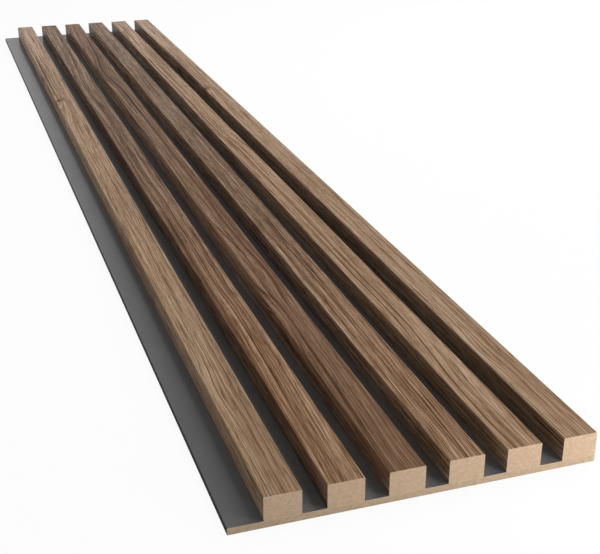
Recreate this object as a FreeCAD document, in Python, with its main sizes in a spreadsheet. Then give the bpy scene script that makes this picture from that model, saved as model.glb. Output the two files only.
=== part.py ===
import FreeCAD, Part
import math
import os
import Sketcher

# Slatted wall panel lying on its back: wrapped slats glued to a board with a dark film on its face.
# X runs across the slats, Y along them and Z out of the wall.
# The origin is the middle of the back face.

# Driving dimensions, in millimetres apart from the count.
SIZES = {
    "panel_length": 1800,
    "slat_count": 6,
    # A slat is measured over its wrap, and its height starts at the film.
    "slat_width": 30,
    "slat_height": 21,
    "slat_gap": 20,
    # The bare strip of board on the left of the first slat.
    "lip_width": 28,
    # The board is measured over its film, and its arris is the radius milled along its long top edges.
    "board_thickness": 6,
    "board_arris": 0.3,
    "film_thickness": 0.2,
    # The radius milled along the four long edges of a slat core, which the wrap follows.
    "core_arris": 0.5,
    "wrap_thickness": 0.25,
    # The width of the wrap that is folded under each side of a slat.
    "wrap_return": 6,
    # The strip left dry between the glue and each fold.
    "glue_margin": 1,
}

# Places that several pieces share, as expressions on the sheet.
SLATS = "round(Sizes.slat_count)"
PITCH = "(Sizes.slat_width + Sizes.slat_gap)"
PANEL_WIDTH = f"(Sizes.lip_width + {SLATS} * {PITCH} - Sizes.slat_gap)"
PANEL_LEFT = f"-{PANEL_WIDTH} / 2"
BOARD_FACE = "Sizes.board_thickness"

# Sketch numbers for the two axes, the origin that starts them and the two ends of a line or arc.
ACROSS_AXIS, UP_AXIS = range(-1, -3, -1)
ORIGIN = ACROSS_AXIS
START, END = range(1, 3)


def make_sheet():
    """Fill the sheet with one named cell for each driving dimension."""
    table = doc.addObject("Spreadsheet::Sheet", "Sizes")
    for row, (alias, size) in enumerate(SIZES.items(), start=1):
        table.set(f"A{row}", alias)
        table.set(f"B{row}", str(size))
        table.setAlias(f"B{row}", alias)
    doc.recompute()
    return table


def value(expression):
    """Give the number that an expression on the sheet stands for."""
    return float(sheet.evalExpression(expression))


def bind(sketch, constraint, name, expression):
    """Add a dimension to a sketch and tie it to the sheet."""
    number = sketch.addConstraint(constraint)
    sketch.renameConstraint(number, name)
    sketch.setExpression(f"Constraints.{name}", expression)


def add_wall(sketch, wall, across, up, is_upright, place):
    """Hold a straight wall level or upright, at its distance from the origin."""
    sketch.addConstraint(Sketcher.Constraint("Vertical" if is_upright else "Horizontal", wall))
    expression = across if is_upright else up
    if expression == "0":
        axis = UP_AXIS if is_upright else ACROSS_AXIS
        sketch.addConstraint(Sketcher.Constraint("PointOnObject", wall, START, axis))
        return
    kind = "DistanceX" if is_upright else "DistanceY"
    distance = place.x if is_upright else place.y
    dimension = Sketcher.Constraint(kind, ORIGIN, START, wall, START, distance)
    bind(sketch, dimension, f"wall_{wall}", expression)


def add_round(sketch, before, after, corner, way_in, way_out, radius, expression):
    """Join two walls with an arc that is tangent to both."""
    leaves = corner - way_in * radius
    meets = corner + way_out * radius
    centre = leaves + way_out * radius
    turns_left = way_in.cross(way_out).z > 0
    first, last = (leaves, meets) if turns_left else (meets, leaves)
    angles = [math.atan2(point.y - centre.y, point.x - centre.x) for point in (first, last)]
    circle = Part.Circle(centre, FreeCAD.Vector(0, 0, 1), radius)
    arc = sketch.addGeometry(Part.ArcOfCircle(circle, *angles))
    near, far = (START, END) if turns_left else (END, START)
    sketch.addConstraint(Sketcher.Constraint("Tangent", before, END, arc, near))
    sketch.addConstraint(Sketcher.Constraint("Tangent", arc, far, after, START))
    bind(sketch, Sketcher.Constraint("Radius", arc, radius), f"arris_{after}", expression)


def draw_section(body, name, corners):
    """Sketch a closed right-angled section across the panel, with every wall and arris tied to the sheet.

    A corner is (across, up, radius), each an expression, with no radius where the corner is sharp.
    The corners go round with the material on the left.
    """
    sketch = body.newObject("Sketcher::SketchObject", name)
    plane = next(feature for feature in body.Origin.OriginFeatures if feature.Role == "XZ_Plane")
    sketch.AttachmentSupport = [(plane, "")]
    sketch.MapMode = "FlatFace"
    count = len(corners)
    places = [FreeCAD.Vector(value(across), value(up), 0) for across, up, radius in corners]
    radii = [value(radius) if radius else 0 for across, up, radius in corners]
    ways = [(places[(wall + 1) % count] - places[wall]).normalize() for wall in range(count)]
    for wall in range(count):
        following = (wall + 1) % count
        begins = places[wall] + ways[wall] * radii[wall]
        ends = places[following] - ways[wall] * radii[following]
        sketch.addGeometry(Part.LineSegment(begins, ends))
    for wall, (across, up, radius) in enumerate(corners):
        before = (wall - 1) % count
        is_upright = abs(ways[wall].y) > abs(ways[wall].x)
        add_wall(sketch, wall, across, up, is_upright, places[wall])
        if radius:
            add_round(sketch, before, wall, places[wall], ways[before], ways[wall], radii[wall], radius)
        else:
            sketch.addConstraint(Sketcher.Constraint("Coincident", before, END, wall, START))
    return sketch


def make_bar(name, corners, left, foot):
    """Make a sub-part that keeps one section along the whole length of the panel."""
    body = doc.addObject("PartDesign::Body", name)
    section = draw_section(body, f"{name}_section", corners)
    pad = body.newObject("PartDesign::Pad", f"{name}_pad")
    pad.Profile = section
    pad.SideType = "Symmetric"
    pad.setExpression("Length", "Sizes.panel_length")
    body.setExpression("Placement.Base.x", left)
    body.setExpression("Placement.Base.z", foot)
    return body


def make_board():
    """Fibreboard under the film, bare on its back and at both ends."""
    left = "Sizes.film_thickness"
    right = f"{PANEL_WIDTH} - Sizes.film_thickness"
    top = "Sizes.board_thickness - Sizes.film_thickness"
    arris = "Sizes.board_arris"
    corners = [(left, "0", None), (right, "0", None), (right, top, arris), (left, top, arris)]
    return make_bar("backing_board", corners, PANEL_LEFT, "0")


def make_film():
    """Film over the board's face, turned down both long edges to the back face."""
    inner_left = "Sizes.film_thickness"
    inner_right = f"{PANEL_WIDTH} - Sizes.film_thickness"
    inner_top = "Sizes.board_thickness - Sizes.film_thickness"
    inner_arris = "Sizes.board_arris"
    outer_arris = "Sizes.board_arris + Sizes.film_thickness"
    corners = [
        ("0", "0", None),
        (inner_left, "0", None),
        (inner_left, inner_top, inner_arris),
        (inner_right, inner_top, inner_arris),
        (inner_right, "0", None),
        (PANEL_WIDTH, "0", None),
        (PANEL_WIDTH, BOARD_FACE, outer_arris),
        ("0", BOARD_FACE, outer_arris),
    ]
    return make_bar("face_film", corners, PANEL_LEFT, "0")


def slat_left(number):
    """Give the place of a slat's left side, counted from the lip."""
    return f"{PANEL_LEFT} + Sizes.lip_width + {number - 1} * {PITCH}"


def make_slat_core(number):
    """Fibreboard bar with its four long edges milled round for the wrap."""
    left = foot = "Sizes.wrap_thickness"
    right = "Sizes.slat_width - Sizes.wrap_thickness"
    top = "Sizes.slat_height - Sizes.wrap_thickness"
    arris = "Sizes.core_arris"
    corners = [(left, foot, arris), (right, foot, arris), (right, top, arris), (left, top, arris)]
    return make_bar(f"slat_core_{number}", corners, slat_left(number), BOARD_FACE)


def make_slat_wrap(number):
    """Walnut-look foil round the top and sides of a slat, with a fold under each side."""
    inner_left = inner_foot = "Sizes.wrap_thickness"
    inner_right = "Sizes.slat_width - Sizes.wrap_thickness"
    inner_top = "Sizes.slat_height - Sizes.wrap_thickness"
    outer_right = "Sizes.slat_width"
    outer_top = "Sizes.slat_height"
    left_fold = "Sizes.wrap_return"
    right_fold = "Sizes.slat_width - Sizes.wrap_return"
    inner_arris = "Sizes.core_arris"
    outer_arris = "Sizes.core_arris + Sizes.wrap_thickness"
    corners = [
        (right_fold, "0", None),
        (outer_right, "0", outer_arris),
        (outer_right, outer_top, outer_arris),
        ("0", outer_top, outer_arris),
        ("0", "0", outer_arris),
        (left_fold, "0", None),
        (left_fold, inner_foot, None),
        (inner_left, inner_foot, inner_arris),
        (inner_left, inner_top, inner_arris),
        (inner_right, inner_top, inner_arris),
        (inner_right, inner_foot, inner_arris),
        (right_fold, inner_foot, None),
    ]
    return make_bar(f"slat_wrap_{number}", corners, slat_left(number), BOARD_FACE)


def make_glue_line(number):
    """Glue in the shallow recess between the two folds, from the film up to the core."""
    left = "Sizes.wrap_return + Sizes.glue_margin"
    right = "Sizes.slat_width - Sizes.wrap_return - Sizes.glue_margin"
    top = "Sizes.wrap_thickness"
    corners = [(left, "0", None), (right, "0", None), (right, top, None), (left, top, None)]
    return make_bar(f"glue_line_{number}", corners, slat_left(number), BOARD_FACE)


def check(sub_parts):
    """Stop if anything in the document failed or a sub-part isn't one sound solid."""
    for item in doc.Objects:
        if "Invalid" in item.State or "Error" in item.State:
            raise RuntimeError(f"{item.Label} failed: {item.State}")
    for sub_part in sub_parts:
        shape = sub_part.Shape
        if shape.isNull() or not shape.isValid() or len(shape.Solids) != 1:
            raise RuntimeError(f"{sub_part.Label} isn't one sound solid")


doc = FreeCAD.newDocument("slat_wall_panel")
sheet = make_sheet()
sub_parts = [make_board(), make_film()]
for slat in range(1, round(sheet.slat_count) + 1):
    sub_parts += [make_slat_core(slat), make_slat_wrap(slat), make_glue_line(slat)]
doc.recompute()
check(sub_parts)

os.makedirs("parts", exist_ok=True)
for sub_part in sub_parts:
    sub_part.Shape.exportStep(f"parts/{sub_part.Label}.step")
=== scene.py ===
import math
from dataclasses import dataclass, field, replace

import bpy
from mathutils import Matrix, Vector


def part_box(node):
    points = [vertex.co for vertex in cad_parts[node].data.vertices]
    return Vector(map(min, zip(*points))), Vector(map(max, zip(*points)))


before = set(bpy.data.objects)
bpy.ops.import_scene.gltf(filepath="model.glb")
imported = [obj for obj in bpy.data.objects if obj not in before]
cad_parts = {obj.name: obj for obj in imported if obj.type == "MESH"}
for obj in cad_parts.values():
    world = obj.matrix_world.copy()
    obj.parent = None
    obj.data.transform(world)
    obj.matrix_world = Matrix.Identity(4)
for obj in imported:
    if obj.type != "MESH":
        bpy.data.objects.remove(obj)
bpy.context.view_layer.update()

# Looks of a slatted wall panel: walnut-print wraps, bare fibreboard, anthracite film and a pale studio.
# The scene is in metres, and the materials work in millimetres from the panel's own frame.
MM = 0.001
MM_PER_METRE = 1000.0
PANEL_LOW, PANEL_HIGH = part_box("face_film")
LEFT_EDGE, NEAR_END = PANEL_LOW[0], PANEL_LOW[1]
HALF_LENGTH = PANEL_HIGH[1] * MM_PER_METRE
BOARD_FACE = PANEL_HIGH[2] * MM_PER_METRE
# From the near end to the far end.
WHOLE_LENGTH = (-HALF_LENGTH, HALF_LENGTH)
# Noise lies about its middle. The spans hold nearly all of it, most of it and the part about its middle.
NOISE_MIDDLE = 0.5
WIDE_SPAN = (0.2, 0.8)
MOST_SPAN = (0.3, 0.7)
MIDDLE_SPAN = (0.35, 0.65)


def rgb(red, green, blue):
    """Give a linear colour with full alpha."""
    return (red, green, blue, 1.0)


WALNUT_LIGHT = rgb(0.475, 0.315, 0.196)
WALNUT_MID = rgb(0.215, 0.128, 0.080)
WALNUT_DARK = rgb(0.052, 0.027, 0.017)
WALNUT_MEAN = (0.330, 0.212, 0.132)
PAPER_CORE = rgb(0.50, 0.37, 0.255)
SLAT_FIBRE_LIGHT = rgb(0.515, 0.376, 0.257)
SLAT_FIBRE_DARK = rgb(0.325, 0.217, 0.133)
BOARD_FIBRE_LIGHT = rgb(0.480, 0.362, 0.250)
BOARD_FIBRE_DARK = rgb(0.300, 0.207, 0.128)
FILM_DARK = rgb(0.138, 0.140, 0.143)
FILM_LIGHT = rgb(0.150, 0.152, 0.155)
# Painted shade for the turned-down long edges of the film.
FILM_EDGE_PAINTED_SHADE = rgb(0.030, 0.030, 0.031)
GLUE_DARK = rgb(0.44, 0.32, 0.22)
GLUE_LIGHT = rgb(0.54, 0.41, 0.29)
FLOOR_GREY = rgb(0.9, 0.9, 0.9)
WHITE = rgb(1.0, 1.0, 1.0)
# Dark grain is redder than pale grain, so each colour has its own contrast.
NEAR_CONTRAST = (0.85, 1.03, 1.22)
FAR_CONTRAST = (0.90, 1.12, 1.42)
# Painted sheen: the print is made a little paler and greyer towards the far end, standing in for the sheen
# that grazing light gives there.
FAR_PAINTED_SHEEN = (1.22, 1.27, 1.37)
# Painted light: a left side is tinted warm beside the arris and grey at its foot, standing in for the cool
# light bounced from the film.
ARRIS_PAINTED_WARMTH = (1.0, 0.96, 0.91)
LIP_FOOT_PAINTED_BOUNCE = (0.96, 0.98, 1.04)
GROOVE_FOOT_PAINTED_BOUNCE = (1.0, 1.20, 1.45)
RED_BOARD_FOOT_PAINTED_BOUNCE = (1.0, 1.40, 1.90)


class Graph:
    """Short calls for building the node tree of one material or world."""

    def __init__(self, owner):
        owner.use_nodes = True
        self.owner = owner
        self.tree = owner.node_tree
        self.tree.nodes.clear()

    def put(self, socket, item):
        """Set a socket to a number or colour, or link another socket to it."""
        if isinstance(item, bpy.types.NodeSocket):
            self.tree.links.new(item, socket)
        else:
            socket.default_value = item

    def add(self, kind, inputs=None, **settings):
        """Add a node, with its settings and its inputs by name or number."""
        node = self.tree.nodes.new(kind)
        for setting, choice in settings.items():
            setattr(node, setting, choice)
        for key, item in (inputs or {}).items():
            self.put(node.inputs[key], item)
        return node

    def math(self, operation, *items, clamp=False):
        """Work out one number from others."""
        inputs = dict(enumerate(items))
        return self.add("ShaderNodeMath", inputs, operation=operation, use_clamp=clamp).outputs[0]

    def place(self):
        """Give the surface point across, along and up the panel, in millimetres."""
        point = self.add("ShaderNodeTexCoord").outputs["Object"]
        scaled = self.add("ShaderNodeVectorMath", {0: point, "Scale": MM_PER_METRE}, operation="SCALE")
        return tuple(self.add("ShaderNodeSeparateXYZ", {0: scaled.outputs[0]}).outputs)

    def vector(self, *items):
        """Join three numbers."""
        return self.add("ShaderNodeCombineXYZ", dict(enumerate(items))).outputs[0]

    def noise(self, place, size, detail=2.0, roughness=0.5):
        """Noise from 0 to 1, with grains of about the size given along each number of the place."""
        point = self.vector(*(self.math("DIVIDE", item, length) for item, length in zip(place, size)))
        inputs = {"Vector": point, "Scale": 1.0, "Detail": detail, "Roughness": roughness}
        return self.add("ShaderNodeTexNoise", inputs, noise_dimensions="3D").outputs[0]

    def band(self, item, span, levels=(0.0, 1.0)):
        """Go smoothly from the first level to the second over a span, and hold them beyond it."""
        inputs = {"Value": item, "From Min": span[0], "From Max": span[1]}
        inputs |= {"To Min": levels[0], "To Max": levels[1]}
        return self.add("ShaderNodeMapRange", inputs, interpolation_type="SMOOTHSTEP").outputs[0]

    def mix(self, factor, first, second, blend="MIX"):
        """Mix two colours."""
        node = self.add("ShaderNodeMix", {"Factor": factor}, data_type="RGBA", blend_type=blend)
        colours = [socket for socket in node.inputs if socket.type == "RGBA"]
        self.put(colours[0], first)
        self.put(colours[1], second)
        return next(socket for socket in node.outputs if socket.type == "RGBA")

    def surface(self, colour, roughness, height, relief, gloss):
        """End the tree in one principled surface, with its relief in millimetres."""
        bump = self.add("ShaderNodeBump", {"Height": height, "Distance": relief * MM, "Strength": 1.0})
        inputs = {"Base Color": colour, "Roughness": roughness, "Normal": bump.outputs[0]}
        inputs["Specular IOR Level"] = gloss
        shader = self.add("ShaderNodeBsdfPrincipled", inputs)
        self.add("ShaderNodeOutputMaterial", {"Surface": shader.outputs[0]})
        return self.owner


def sawn_end(graph, along):
    """Tell the two sawn ends of the panel from the rest."""
    outside, inside = 0.02, 0.06
    return graph.band(graph.math("ABSOLUTE", along), (HALF_LENGTH - inside, HALF_LENGTH - outside))


@dataclass
class Mark:
    """A soft oval place in the print, with its reach each way. It may lean as it runs to the far end."""
    along: float
    across: float
    length: float
    breadth: float
    lean: float = field(default=0.0, kw_only=True)


@dataclass
class Swell(Mark):
    """A mark where the grain bows right, or left where its rise is negative. Its far reach may differ."""
    rise: float
    far_length: float = field(default=None, kw_only=True)


@dataclass
class Knot(Mark):
    """A dark mark, or a pale one where its strength is negative."""
    strength: float


@dataclass
class Vein:
    """A dark line along the grain, or a pale one where its strength is negative, with soft ends."""
    across: float
    width: float
    strength: float
    begin: float = -math.inf
    end: float = math.inf


@dataclass
class Board:
    """One board of the walnut print, in millimetres from the middle of the slat and of its top.

    Tones and tints are factors, and those of the left side are painted shade and light, with a painted cool
    bounce at its foot, on top of the board's.
    The whole print may be shifted across the slat.
    """
    seed: float
    near_tone: float
    far_tone: float
    tint: tuple
    # Painted shade and light on the left side, at the near end and towards the far end.
    painted_left_shading_near: float
    painted_left_shading_far: float
    # Painted cool bounce light at the foot of the left side.
    painted_foot_bounce: tuple
    ring_width: float
    ring_contrast: float
    broad_contrast: float
    fine_contrast: float
    swells: list = field(default_factory=list)
    veins: list = field(default_factory=list)
    knots: list = field(default_factory=list)
    shift: float = 0.0


@dataclass
class Streak:
    """A noise drawn out along the slat. Each has its own layer, so that no two are alike."""
    wide: float
    long: float
    layer: int
    detail: float = 2.0
    roughness: float = 0.5


WANDER = Streak(50, 250, layer=0, detail=1.5)
FIBRES = Streak(1.1, 280, layer=11, roughness=0.75)
FLECKS = Streak(1.0, 40, layer=13, roughness=0.7)
PORES = Streak(0.9, 16, layer=17, detail=1.0)
COARSE_FLECKS = Streak(2.6, 140, layer=19, roughness=0.7)
BROAD_BANDS = Streak(4.5, 400, layer=23, detail=3.0, roughness=0.65)
HAIRLINES = Streak(2.4, 420, layer=29, detail=0.0)
# Each set of growth rings takes its layer and the next.
RING_LAYER = 3
FINE_RING_LAYER = 31

# Straight pale grain with a small knot beside the left arris.
PALE = Board(
    seed=1.7, near_tone=0.88, far_tone=0.96, tint=(1.0, 0.985, 0.955),
    painted_left_shading_near=0.85, painted_left_shading_far=1.06, painted_foot_bounce=LIP_FOOT_PAINTED_BOUNCE,
    ring_width=2.7, ring_contrast=0.16, broad_contrast=0.20, fine_contrast=1.05,
    swells=[Swell(266, -8, 105, 12, 13, far_length=9), Swell(-745, -6, 45, 9, -3)],
    veins=[Vein(-4.3, 0.9, 0.50, -800, -580), Vein(8.0, 0.8, 0.30, -900, -600), Vein(2.0, 1.0, 0.25),
           Vein(-6.8, 1.4, -0.55, -900, -540)],
    knots=[Knot(462, -11.3, 175, 1.5, 1.4), Knot(455, -13.5, 170, 0.9, -0.7), Knot(270, -9.0, 8, 4.5, 0.8),
           Knot(277, -3.0, 10, 4.5, 0.35), Knot(235, -10.8, 30, 0.8, -0.3, lean=0.096),
           Knot(222, -8.8, 40, 0.7, 0.3, lean=0.09), Knot(205, -7.0, 60, 0.9, -0.3, lean=0.076),
           Knot(190, -6.0, 60, 0.7, 0.3, lean=0.07), Knot(165, -4.8, 85, 1.0, -0.15, lean=0.065),
           Knot(230, -13.0, 22, 3.0, 0.12), Knot(456, -23, 22, 4.0, 1.0), Knot(-855, 2, 75, 16, 0.19),
           Knot(-655, 0, 80, 16, -0.24)])
# Dark parallel lines that lean to the left arris at the near end and hump towards the far end.
STRIPED = Board(
    seed=5.2, near_tone=0.90, far_tone=0.545, tint=(1.0, 0.925, 0.865),
    painted_left_shading_near=0.60, painted_left_shading_far=1.00, painted_foot_bounce=GROOVE_FOOT_PAINTED_BOUNCE,
    ring_width=4.4, ring_contrast=0.30, broad_contrast=0.10, fine_contrast=1.60,
    swells=[Swell(-1050, 0, 380, 60, -9), Swell(-535, 4, 34, 12, -1.5), Swell(310, 0, 200, 40, -5),
            Swell(900, 0, 300, 60, 10)],
    veins=[Vein(0.5, 0.8, 0.80, -490), Vein(-8.7, 0.9, 0.45, -420, 700), Vein(-5.0, 0.7, 0.50, -420, 100),
           Vein(-2.4, 0.7, 0.50, -420, 100), Vein(-3.7, 0.7, 0.45, -900, -680),
           Vein(-0.4, 0.7, 0.60, -900, -490), Vein(2.8, 0.7, 0.70, -900, -490),
           Vein(5.2, 0.7, 0.40, -900, -600), Vein(7.4, 0.8, 0.70, -800, -440),
           Vein(10.3, 0.8, 0.40, -800, -430), Vein(-10.3, 3.4, 0.72, -830, -300)],
    knots=[Knot(-700, 10.5, 110, 3.5, 0.22)])
# The same grain further across the board, plain at the far end, with a knot on the left side.
SHIFTED = replace(
    STRIPED, seed=6.1, near_tone=0.82, far_tone=0.53, painted_left_shading_near=0.95, painted_left_shading_far=1.95, fine_contrast=1.75,
    swells=[Swell(-1050, 0, 380, 60, -9), Swell(-535, -10, 34, 12, -1.5), Swell(350, 0, 250, 40, -3)],
    veins=[Vein(-6.2, 0.7, 0.75, -800, -430), Vein(2.25, 0.7, 0.75, -700, 60),
           Vein(6.2, 0.7, 0.70, -900, -450), Vein(8.5, 0.7, 0.80, -900, -740),
           Vein(-6.0, 2.0, 0.20, -330, 60), Vein(11.0, 0.7, 0.50, -450, 100),
           Vein(-10.8, 1.8, -0.60, -720, -380)],
    knots=[Knot(450, -29, 24, 5.0, 0.9), Knot(-760, 12.5, 170, 4.0, 0.28)])
# Dark red-brown board with a hump towards the far end, and a tongue and a cup towards the near end.
FIGURED = Board(
    seed=9.4, near_tone=0.525, far_tone=0.54, tint=(1.0, 0.870, 0.790),
    painted_left_shading_near=1.40, painted_left_shading_far=2.22, painted_foot_bounce=RED_BOARD_FOOT_PAINTED_BOUNCE,
    ring_width=8.5, ring_contrast=0.25, broad_contrast=0.65, fine_contrast=1.15,
    swells=[Swell(445, 0, 105, 30, -12), Swell(980, 0, 230, 60, 16), Swell(-510, 9, 70, 8, 5),
            Swell(-622, -14, 52, 8, 9), Swell(-900, 0, 150, 40, -7)],
    veins=[Vein(3.5, 2.3, 1.2, 150, 760), Vein(4.0, 1.7, 0.7, -600, 150), Vein(9.0, 1.4, 0.40, -560, 900),
           Vein(-4.5, 1.2, 0.30, -200, 900), Vein(-6.0, 2.0, 0.60, -900, -560),
           Vein(-9.0, 1.2, 0.55, -250, 300), Vein(-14.0, 1.4, 0.55)],
    knots=[Knot(-392, -7.5, 95, 0.9, 0.9, lean=-0.075), Knot(-450, -4.7, 38, 0.8, -0.6, lean=-0.115),
           Knot(-562, -9.2, 20, 1.6, 0.7, lean=-0.2), Knot(-622, -10.0, 40, 2.0, -0.5),
           Knot(-650, 2.2, 90, 1.0, -0.3), Knot(-860, 0.0, 50, 0.9, -0.5, lean=0.047),
           Knot(-860, 6.0, 45, 0.8, -0.4), Knot(640, -12.5, 16, 0.9, 0.8, lean=-0.08),
           Knot(-875, -26, 60, 9.0, 0.15)])
# Pale board with one long dark line that crosses it slowly.
VEINED = Board(
    seed=13.8, near_tone=0.90, far_tone=0.90, tint=(1.0, 0.97, 0.925),
    painted_left_shading_near=0.72, painted_left_shading_far=0.90, painted_foot_bounce=GROOVE_FOOT_PAINTED_BOUNCE,
    ring_width=4.6, ring_contrast=0.14, broad_contrast=0.26, fine_contrast=1.25,
    swells=[Swell(40, 0, 85, 50, -7.5, far_length=2000), Swell(560, 0, 110, 50, -4),
            Swell(-830, -2, 160, 30, -8, far_length=95)],
    veins=[Vein(-1.7, 0.9, 0.90, -900, -560), Vein(-1.7, 2.0, 0.60, -560, -120),
           Vein(-1.7, 1.2, 0.85, -120, 560), Vein(-8.3, 0.9, 1.00, -690, -390), Vein(6.5, 0.9, 0.30)],
    knots=[Knot(-644, -13.0, 20, 1.6, 0.6), Knot(-865, 11.5, 40, 0.8, 0.6, lean=0.037),
           Knot(-850, 6.8, 60, 0.9, -0.4, lean=0.037), Knot(-875, 0, 45, 16, 0.18),
           Knot(-725, 0, 80, 16, -0.18)])
# The first slat's print again, a little further left.
PALE_AGAIN = replace(
    PALE, near_tone=0.91, far_tone=0.93, painted_left_shading_near=0.55, painted_left_shading_far=0.58, painted_foot_bounce=GROOVE_FOOT_PAINTED_BOUNCE,
    shift=-3.0)
SLAT_BOARDS = (PALE, STRIPED, FIGURED, SHIFTED, VEINED, PALE_AGAIN)


class WalnutPrint:
    """Walnut print with its grain along the slat, unrolled over the arrises."""

    def __init__(self, name, node, board):
        self.graph = Graph(bpy.data.materials.new(name))
        self.board = board
        self.unroll(*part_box(node))
        self.bow_grain()
        self.within, self.strength = self.rings(board.ring_width, RING_LAYER)
        self.fibre = self.streaks(self.fanned, FIBRES)

    def unroll(self, low, high):
        """Measure across the flat wrap, from the middle of the slat's top, and tell its left side."""
        graph = self.graph
        arris_blend = 2.0
        middle, top = (low[0] + high[0]) / 2 * MM_PER_METRE, high[2] * MM_PER_METRE
        half_width = (high[0] - low[0]) / 2 * MM_PER_METRE
        self.left_arris, self.left_foot = -half_width, low[2] * MM_PER_METRE - top - half_width
        x, self.along, z = graph.place()
        aside = graph.math("SUBTRACT", x, middle)
        depth = graph.math("SUBTRACT", top, z)
        self.across = graph.math("MULTIPLY_ADD", graph.math("SIGN", aside), depth, aside)
        self.printed = graph.math("SUBTRACT", self.across, self.board.shift)
        self.on_left = graph.band(self.across, (self.left_arris - arris_blend, self.left_arris), (1.0, 0.0))

    def streaks(self, item, streak):
        """Noise drawn out along the slat, with the item running across it."""
        place = (item, self.along, self.board.seed + streak.layer)
        return self.graph.noise(place, (streak.wide, streak.long, 1.0), streak.detail, streak.roughness)

    def far_off(self, item, centre, reach):
        """Squared distance from a centre, counted in reaches."""
        offset = self.graph.math("DIVIDE", self.graph.math("SUBTRACT", item, centre), reach)
        return self.graph.math("MULTIPLY", offset, offset)

    def bell(self, distance):
        """Soft bump that is 1 where the squared distance is 0."""
        return self.graph.math("EXPONENT", self.graph.math("MULTIPLY", distance, -1.0))

    def spot(self, mark, far_length=None):
        """Soft bump at a mark of the print."""
        graph = self.graph
        offset = graph.math("SUBTRACT", self.along, mark.along)
        reach = mark.length
        if far_length:
            beyond = graph.math("GREATER_THAN", offset, 0.0)
            reach = graph.math("MULTIPLY_ADD", beyond, far_length - mark.length, mark.length)
        lengthwise = self.far_off(offset, 0.0, reach)
        centre = graph.math("MULTIPLY_ADD", offset, mark.lean, mark.across)
        return self.bell(graph.math("ADD", lengthwise, self.far_off(self.printed, centre, mark.breadth)))

    def bow_grain(self):
        """Measure across the grain, which wanders, bows round the swells and opens out to the far end."""
        graph = self.graph
        wander_reach, near_density, far_density = 7.0, 1.25, 0.90
        wander = graph.math("SUBTRACT", self.streaks(self.printed, WANDER), NOISE_MIDDLE)
        self.grain = graph.math("MULTIPLY_ADD", wander, wander_reach, self.printed)
        for swell in self.board.swells:
            bow = self.spot(swell, swell.far_length)
            self.grain = graph.math("MULTIPLY_ADD", bow, -swell.rise, self.grain)
        density = graph.band(self.along, WHOLE_LENGTH, (near_density, far_density))
        self.fanned = graph.math("MULTIPLY", self.grain, density)

    def rings(self, width, layer):
        """Growth rings: how far through its ring a point is, and how strong that ring's late wood is."""
        graph = self.graph
        unevenness, rings_per_swing = 5.0, 2.5
        fade_span, weakest_fade, weakest_ring = (0.3, 0.6), 0.35, 0.25
        uneven = self.streaks(self.fanned, Streak(wide=rings_per_swing * width, long=800, layer=layer))
        turn = graph.math("MULTIPLY_ADD", uneven, unevenness, graph.math("DIVIDE", self.fanned, width))
        ring = graph.math("FLOOR", turn)
        label = graph.math("ADD", ring, self.board.seed + layer)
        chance = graph.add("ShaderNodeTexWhiteNoise", {"W": label}, noise_dimensions="1D").outputs[0]
        patches = self.streaks(ring, Streak(wide=1.4, long=250, layer=layer + 1, detail=1.0))
        fade = graph.band(patches, fade_span, (weakest_fade, 1.0))
        strength = graph.math("MULTIPLY", graph.band(chance, (0.0, 1.0), (weakest_ring, 1.0)), fade)
        return graph.math("FRACT", turn), strength

    def late_wood(self, within, strength, begins):
        """Dark line at the end of each ring, with a sharp outer edge."""
        graph = self.graph
        full, fades, ends = 0.90, 0.91, 1.0
        inner = graph.band(within, (begins, full))
        outer = graph.band(within, (fades, ends), (1.0, 0.0))
        return graph.math("MULTIPLY", graph.math("MULTIPLY", inner, outer), strength)

    def vein_line(self, vein):
        """Line along the grain, between its two ends."""
        graph = self.graph
        fade = 60.0
        line = self.bell(self.far_off(self.grain, vein.across, vein.width))
        for stop, levels in ((vein.begin, (0.0, 1.0)), (vein.end, (1.0, 0.0))):
            if math.isfinite(stop):
                shown = graph.band(self.along, (stop - fade, stop + fade), levels)
                line = graph.math("MULTIPLY", line, shown)
        return line

    def figure(self):
        """Sum of the ring lines, veins and knots, where pale marks count as negative."""
        graph, board = self.graph, self.board
        fine_rings_per_ring, fine_share = 2.7, 0.6
        lines = self.late_wood(self.within, self.strength, begins=0.45)
        fine_rings = self.rings(board.ring_width / fine_rings_per_ring, FINE_RING_LAYER)
        fine_lines = self.late_wood(*fine_rings, begins=0.35)
        figure = graph.math("MULTIPLY", lines, board.ring_contrast)
        figure = graph.math("MULTIPLY_ADD", fine_lines, board.ring_contrast * fine_share, figure)
        for vein in board.veins:
            figure = graph.math("MULTIPLY_ADD", self.vein_line(vein), vein.strength, figure)
        for knot in board.knots:
            figure = graph.math("MULTIPLY_ADD", self.spot(knot), knot.strength, figure)
        return figure

    def ground(self, figure):
        """Wood between the lines: broad bands, darker through each ring and lighter at the pale marks."""
        graph = self.graph
        middle, half = 0.375, self.board.broad_contrast / 2
        broad_span, aged_share = (0.34, 0.66), 0.6
        bands = self.streaks(self.fanned, BROAD_BANDS)
        broad = graph.band(bands, broad_span, (middle - half, middle + half))
        aged = graph.math("MULTIPLY", self.within, self.strength)
        depth = graph.math("MULTIPLY_ADD", aged, self.board.ring_contrast * aged_share, broad)
        depth = graph.math("ADD", depth, graph.math("MINIMUM", figure, 0.0), clamp=True)
        return graph.mix(depth, WALNUT_LIGHT, WALNUT_MID)

    def add_flecks(self, shade, streak, span, strengths):
        """Add paler and darker flecks to a shade, with a strength that changes over a span of the slat."""
        graph = self.graph
        fleck = graph.band(self.streaks(self.fanned, streak), MOST_SPAN, (-1.0, 1.0))
        return graph.math("MULTIPLY_ADD", fleck, graph.band(self.along, span, strengths), shade)

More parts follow.
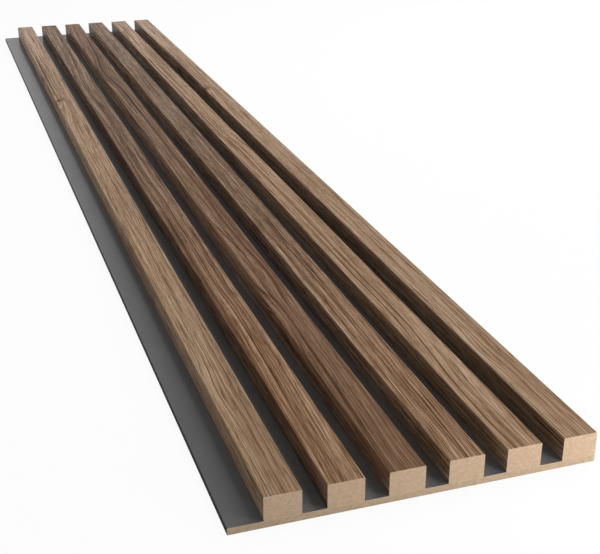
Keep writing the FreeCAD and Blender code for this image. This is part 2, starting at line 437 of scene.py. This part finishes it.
    def hairline(self):
        """Thin lines where a smooth noise crosses its middle."""
        graph = self.graph
        near_breadth, far_breadth = 0.07, 0.09
        crossing = graph.math("SUBTRACT", self.streaks(self.fanned, HAIRLINES), NOISE_MIDDLE)
        breadth = graph.band(self.along, WHOLE_LENGTH, (near_breadth, far_breadth))
        return graph.band(graph.math("ABSOLUTE", crossing), (0.0, breadth), (1.0, 0.0))

    def fine_shade(self):
        """Fine streaks, flecks and hairlines, stronger on the left side and coarser at the far end."""
        graph, board = self.graph, self.board
        streak_levels, hairline_depth, darkest = (-0.23, 0.37), -0.32, 0.15
        left_gain, far_gain = 1.5, 1.5
        fading, growing = (-HALF_LENGTH, 0.3 * HALF_LENGTH), (0.0, HALF_LENGTH)
        shade = graph.band(self.fibre, MIDDLE_SPAN, streak_levels)
        shade = self.add_flecks(shade, FLECKS, fading, strengths=(0.30, 0.20))
        shade = self.add_flecks(shade, COARSE_FLECKS, growing, strengths=(0.0, 0.10))
        shade = graph.math("MULTIPLY_ADD", self.hairline(), hairline_depth, shade)
        sided = graph.band(self.on_left, (0.0, 1.0), (board.fine_contrast, board.fine_contrast * left_gain))
        contrast = graph.math("MULTIPLY", sided, graph.band(self.along, WHOLE_LENGTH, (1.0, far_gain)))
        return graph.math("MAXIMUM", graph.math("MULTIPLY_ADD", shade, contrast, 1.0), darkest)

    def tone(self):
        """Tone along the board, times painted shade and light on its left side that change from the near
        end towards the far end.
        """
        graph, board = self.graph, self.board
        top_span, side_span = (-HALF_LENGTH, 0.0), (-0.2 * HALF_LENGTH, 0.5 * HALF_LENGTH)
        lengthwise = graph.band(self.along, top_span, (board.near_tone, board.far_tone))
        # Painted shade and light on the left side.
        painted_side_light = graph.band(self.along, side_span, (board.painted_left_shading_near - 1.0, board.painted_left_shading_far - 1.0))
        sided = graph.math("MULTIPLY_ADD", self.on_left, painted_side_light, 1.0)
        return graph.math("MULTIPLY", lengthwise, sided)

    def colour(self, wood):
        """Give one colour after another its own contrast, tone and tint, with painted sheen towards the far
        end and painted shade, light and bounce on the left side.
        """
        graph, board = self.graph, self.board
        tone = self.tone()
        painted_sheen_span, left_side = (0.35 * HALF_LENGTH, HALF_LENGTH), (self.left_foot, self.left_arris)
        channels = graph.add("ShaderNodeSeparateColor", {0: wood}).outputs
        grades = zip(channels, WALNUT_MEAN, NEAR_CONTRAST, FAR_CONTRAST)
        tints = zip(board.tint, FAR_PAINTED_SHEEN, board.painted_foot_bounce, ARRIS_PAINTED_WARMTH)
        finished = []
        for (channel, mean, near, far), (tint, far_sheen_paint, foot_bounce_paint, arris_warmth_paint) in zip(grades, tints):
            contrast = graph.band(self.along, WHOLE_LENGTH, (near, far))
            level = graph.math("POWER", graph.math("DIVIDE", channel, mean), contrast)
            full = mean * tint
            # Painted sheen: paler and greyer towards the far end.
            tint_and_painted_sheen = graph.band(self.along, painted_sheen_span, (full, full * far_sheen_paint))
            # Painted light: warm beside the arris and grey at the foot of the left side.
            painted_side_light = graph.band(self.across, left_side, (foot_bounce_paint - 1.0, arris_warmth_paint - 1.0))
            sided = graph.math("MULTIPLY_ADD", self.on_left, painted_side_light, 1.0)
            toned = graph.math("MULTIPLY", graph.math("MULTIPLY", level, tone), sided)
            finished.append(graph.math("MULTIPLY", toned, tint_and_painted_sheen))
        return graph.vector(*finished)

    def material(self):
        """Finish the print, with its pores and lines a little sunk and its sawn ends bare."""
        graph = self.graph
        line_levels, roughness_levels = (0.75, 1.15), (0.31, 0.41)
        pore_span, pore_strength = (0.57, 0.69), 0.45
        figure = self.figure()
        dark = graph.math("MULTIPLY", figure, graph.band(self.fibre, MIDDLE_SPAN, line_levels), clamp=True)
        pores = graph.band(self.streaks(self.fanned, PORES), pore_span)
        figured = graph.mix(dark, self.ground(figure), WALNUT_DARK)
        pored = graph.mix(graph.math("MULTIPLY", pores, pore_strength), figured, WALNUT_DARK)
        wood = graph.mix(1.0, pored, self.fine_shade(), "MULTIPLY")
        colour = graph.mix(sawn_end(graph, self.along), self.colour(wood), PAPER_CORE)
        roughness = graph.band(self.fibre, WIDE_SPAN, roughness_levels)
        height = graph.math("SUBTRACT", self.fibre, graph.math("MAXIMUM", dark, pores))
        return graph.surface(colour, roughness, height, relief=0.04, gloss=0.015)


def fibreboard(name, light, dark):
    """Cut fibreboard: a fine even speckle of pressed fibres over a faint mottle."""
    speckle_share, mottle_share = 0.85, 0.15
    dark_to_light, roughness_levels = (0.40, 0.60), (0.55, 0.70)
    graph = Graph(bpy.data.materials.new(name))
    place = graph.place()
    speckle = graph.noise(place, size=(0.8, 0.8, 0.8), detail=4.0, roughness=0.8)
    mottle = graph.noise(place, size=(4.0, 4.0, 3.0))
    mixed = graph.math("MULTIPLY_ADD", mottle, mottle_share, graph.math("MULTIPLY", speckle, speckle_share))
    colour = graph.mix(graph.band(mixed, dark_to_light), dark, light)
    roughness = graph.band(speckle, WIDE_SPAN, roughness_levels)
    return graph.surface(colour, roughness, speckle, relief=0.08, gloss=0.5)


def anthracite_film():
    """Satin dark grey film with a very fine pearled face, duller where it turns down the long edges, and
    painted near-black there as painted shade.
    """
    edge_roughness, face_roughness, pearl_levels = 0.85, 0.16, (0.9, 1.1)
    face_span = (BOARD_FACE - 0.5, BOARD_FACE - 0.1)
    graph = Graph(bpy.data.materials.new("anthracite_film"))
    place = graph.place()
    along, height = place[1:]
    pearl = graph.noise(place, size=(1.0, 1.0, 1.0))
    cloud = graph.noise(place, size=(35.0, 80.0, 1.0))
    clouded = graph.mix(graph.band(cloud, MOST_SPAN), FILM_DARK, FILM_LIGHT)
    face = graph.band(height, face_span)
    # Painted shade: the turned-down edges are painted near-black.
    finished = graph.mix(face, FILM_EDGE_PAINTED_SHADE, clouded)
    roughness = graph.band(face, (0.0, 1.0), (edge_roughness, face_roughness))
    roughness = graph.math("MULTIPLY", roughness, graph.band(pearl, WIDE_SPAN, pearl_levels))
    colour = graph.mix(sawn_end(graph, along), finished, PAPER_CORE)
    return graph.surface(colour, roughness, pearl, relief=0.003, gloss=0.06)


def dried_glue():
    """Pale glue with small bubbles, seen only as a hairline at the ends."""
    roughness_levels = (0.45, 0.60)
    graph = Graph(bpy.data.materials.new("dried_glue"))
    bubble = graph.noise(graph.place(), size=(1.0, 1.0, 1.0), detail=3.0, roughness=0.6)
    colour = graph.mix(graph.band(bubble, MOST_SPAN), GLUE_DARK, GLUE_LIGHT)
    roughness = graph.band(bubble, WIDE_SPAN, roughness_levels)
    return graph.surface(colour, roughness, bubble, relief=0.02, gloss=0.5)


def dress(node, material):
    """Give a solid from the frame its finished material."""
    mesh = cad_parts[node].data
    mesh.materials.clear()
    mesh.materials.append(material)


def dress_panel():
    """Finish every solid of the panel."""
    core = fibreboard("fibreboard_slat", SLAT_FIBRE_LIGHT, SLAT_FIBRE_DARK)
    board = fibreboard("fibreboard_board", BOARD_FIBRE_LIGHT, BOARD_FIBRE_DARK)
    glue = dried_glue()
    dress("backing_board", board)
    dress("face_film", anthracite_film())
    for number, look in enumerate(SLAT_BOARDS, start=1):
        wrap = f"slat_wrap_{number}"
        dress(wrap, WalnutPrint(f"walnut_{number}", wrap, look).material())
        dress(f"slat_core_{number}", core)
        dress(f"glue_line_{number}", glue)


def shows_background(graph):
    """Tell rays that show the background, straight or mirrored, from rays that carry light."""
    path = graph.add("ShaderNodeLightPath").outputs
    mirrored = graph.math("MAXIMUM", path["Is Glossy Ray"], path["Is Transmission Ray"])
    return graph.math("MAXIMUM", path["Is Camera Ray"], mirrored)


def corners_of(low, high):
    """Give the corners of a rectangle in turn."""
    return [(low[0], low[1]), (high[0], low[1]), (high[0], high[1]), (low[0], high[1])]


def make_floor():
    """White floor that keeps a faint shadow of the panel, open under it so that its back can be seen."""
    half, lift = 30.0, 0.93
    rim, gap = 0.003, 0.0002
    under = corners_of(PANEL_LOW, PANEL_HIGH)
    inner = [(x - math.copysign(rim, x), y - math.copysign(rim, y)) for x, y in under]
    outer = corners_of((-half, -half), (half, half))
    mesh = bpy.data.meshes.new("floor")
    count = len(outer)
    pairs = [(corner, (corner + 1) % count) for corner in range(count)]
    sides = [(corner, after, after + count, corner + count) for corner, after in pairs]
    mesh.from_pydata([(x, y, -gap) for x, y in outer + inner], [], sides)
    graph = Graph(bpy.data.materials.new("floor_white"))
    paper = graph.add("ShaderNodeBsdfDiffuse", {"Color": FLOOR_GREY})
    glow = graph.add("ShaderNodeEmission", {"Color": WHITE, "Strength": 1.0})
    factor = graph.math("MULTIPLY", shows_background(graph), lift)
    mixed = graph.add("ShaderNodeMixShader", {0: factor, 1: paper.outputs[0], 2: glow.outputs[0]})
    graph.add("ShaderNodeOutputMaterial", {"Surface": mixed.outputs[0]})
    mesh.materials.append(graph.owner)
    floor = bpy.data.objects.new("floor", mesh)
    bpy.context.collection.objects.link(floor)


def make_world(strength):
    """Even white sky that lights softly and shows as white."""
    graph = Graph(bpy.data.worlds.new("studio"))
    level = graph.band(shows_background(graph), (0.0, 1.0), (strength, 1.0))
    sky = graph.add("ShaderNodeBackground", {"Color": WHITE, "Strength": level})
    graph.add("ShaderNodeOutputWorld", {"Surface": sky.outputs[0]})
    bpy.context.scene.world = graph.owner


def make_softbox(name, place, target, size, power, mirrored=True):
    """Square soft light that the camera doesn't see. It may also stay out of mirrored light."""
    lamp = bpy.data.lights.new(name, "AREA")
    lamp.shape = "SQUARE"
    lamp.size = size
    lamp.energy = power
    box = bpy.data.objects.new(name, lamp)
    box.location = place
    box.rotation_euler = (Vector(target) - Vector(place)).to_track_quat("-Z", "Y").to_euler()
    box.visible_camera = False
    box.visible_glossy = mirrored
    bpy.context.collection.objects.link(box)


def light_studio():
    """Large key light on the right, a low fill on the left and a small light on the near end."""
    make_world(strength=0.33)
    make_softbox("key", place=(1.5, 0.1, 1.65), target=(0, 0.1, 0), size=2.0, power=46.5)
    make_softbox("fill", place=(-1.5, -0.1, 0.30), target=(-0.15, -0.1, 0.01), size=1.0, power=3.0)
    make_softbox("end_light", place=(0.35, -1.25, 0.10), target=(0.14, -0.9, 0.012), size=0.2, power=2.3,
                 mirrored=False)


def make_camera():
    """Camera of the photograph: low over the near left corner, looking along the panel."""
    focal_length, sensor_width = 66.82, 36.0
    left_of_panel, before_panel, height = 0.1624, 0.6498, 0.5028
    turn_right, look_down = math.radians(18.598), math.radians(23.914)
    lens = bpy.data.cameras.new("camera")
    lens.sensor_fit = "HORIZONTAL"
    lens.sensor_width = sensor_width
    lens.lens = focal_length
    camera = bpy.data.objects.new("camera", lens)
    camera.location = (LEFT_EDGE - left_of_panel, NEAR_END - before_panel, height)
    camera.rotation_euler = (math.pi / 2 - look_down, 0, -turn_right)
    bpy.context.collection.objects.link(camera)
    bpy.context.scene.camera = camera


dress_panel()
make_floor()
light_studio()
make_camera()
bpy.context.scene.view_settings.view_transform = "Standard"
